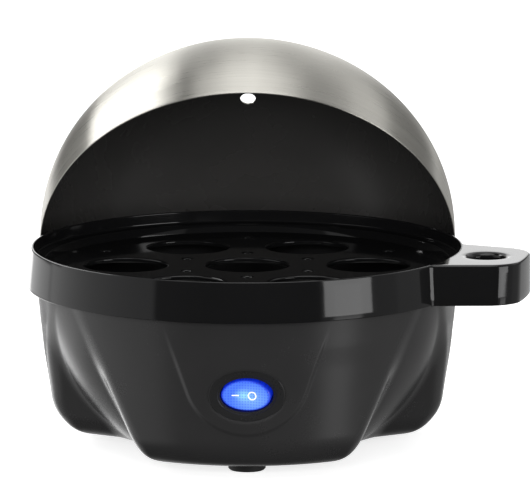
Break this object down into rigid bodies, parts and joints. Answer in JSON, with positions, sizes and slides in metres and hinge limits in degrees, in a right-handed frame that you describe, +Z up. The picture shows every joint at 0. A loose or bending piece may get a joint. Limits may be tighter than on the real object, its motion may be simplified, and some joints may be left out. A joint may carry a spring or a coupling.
{
  "type": "egg cooker",
  "caption": "Electric egg cooker: lobed bowl base with lit oval rocker switch, egg tray with side handle, and a steel dome lid standing behind, leaning on its edge.",
  "frame": {"origin": "on the bowl's axis, in the plane that the three feet stand on", "axes": "+Z up, -Y the front with the switch, +X the side that the tray's handle is on"},
  "size_m": [0.201, 0.2171, 0.1578],
  "materials": {
    "housing": "satin",
    "deck": "satin",
    "seal": "matte",
    "plate": "satin",
    "cast_aluminium": "matte",
    "sheath": "matte",
    "zinc": "satin",
    "phenolic": "matte",
    "fuse_metal": "satin",
    "ceramic": "matte",
    "bezel": "gloss",
    "switch_body": "matte",
    "rocker": "gloss",
    "lamp": "gloss",
    "terminal": "matte",
    "grommet": "matte",
    "foot": "matte",
    "tray": "gloss",
    "lid_steel": "brushed"
  },
  "bodies": {
    "base": {"base_housing": "housing", "deck": "deck", "plate_seal": "seal", "heating_plate": "plate", "heat_spreader": "cast_aluminium", "heating_element": "sheath", "plate_clamps": "zinc", "plate_nuts": "zinc", "thermostat": "phenolic", "thermostat_clip": "zinc", "clip_screws": "zinc", "thermal_fuse": "fuse_metal", "fuse_holder": "ceramic", "switch_bezel": "bezel", "switch_body": "switch_body", "switch_lamp": "lamp", "terminal_block": "terminal", "cord_grommet": "grommet", "foot_front": "foot", "foot_left": "foot", "foot_right": "foot", "housing_screws": "zinc"},
    "rocker": {"switch_rocker": "rocker"},
    "tray": {"egg_tray": "tray"},
    "lid": {"lid_dome": "lid_steel"}
  },
  "joints": [
    {"name": "rocker_tilt", "type": "hinge", "parent": "base", "child": "rocker", "pos_m": [0, -0.07796, 0.03559], "axis": [0, -0.1219, 0.9925], "range_deg": [0, 16]},
    {"name": "lid_lift", "type": "slide", "parent": "base", "child": "lid", "axis": [0, 0.8387, 0.5446], "range_m": [0, 0.2]},
    {"name": "tray_lift", "type": "slide", "parent": "base", "child": "tray", "axis": [0, 0, 1], "range_m": [0, 0.048]}
  ],
  "couplings": [
    {"joint": "tray_lift", "follows": "lid_lift", "ratio": 0.24}
  ]
}
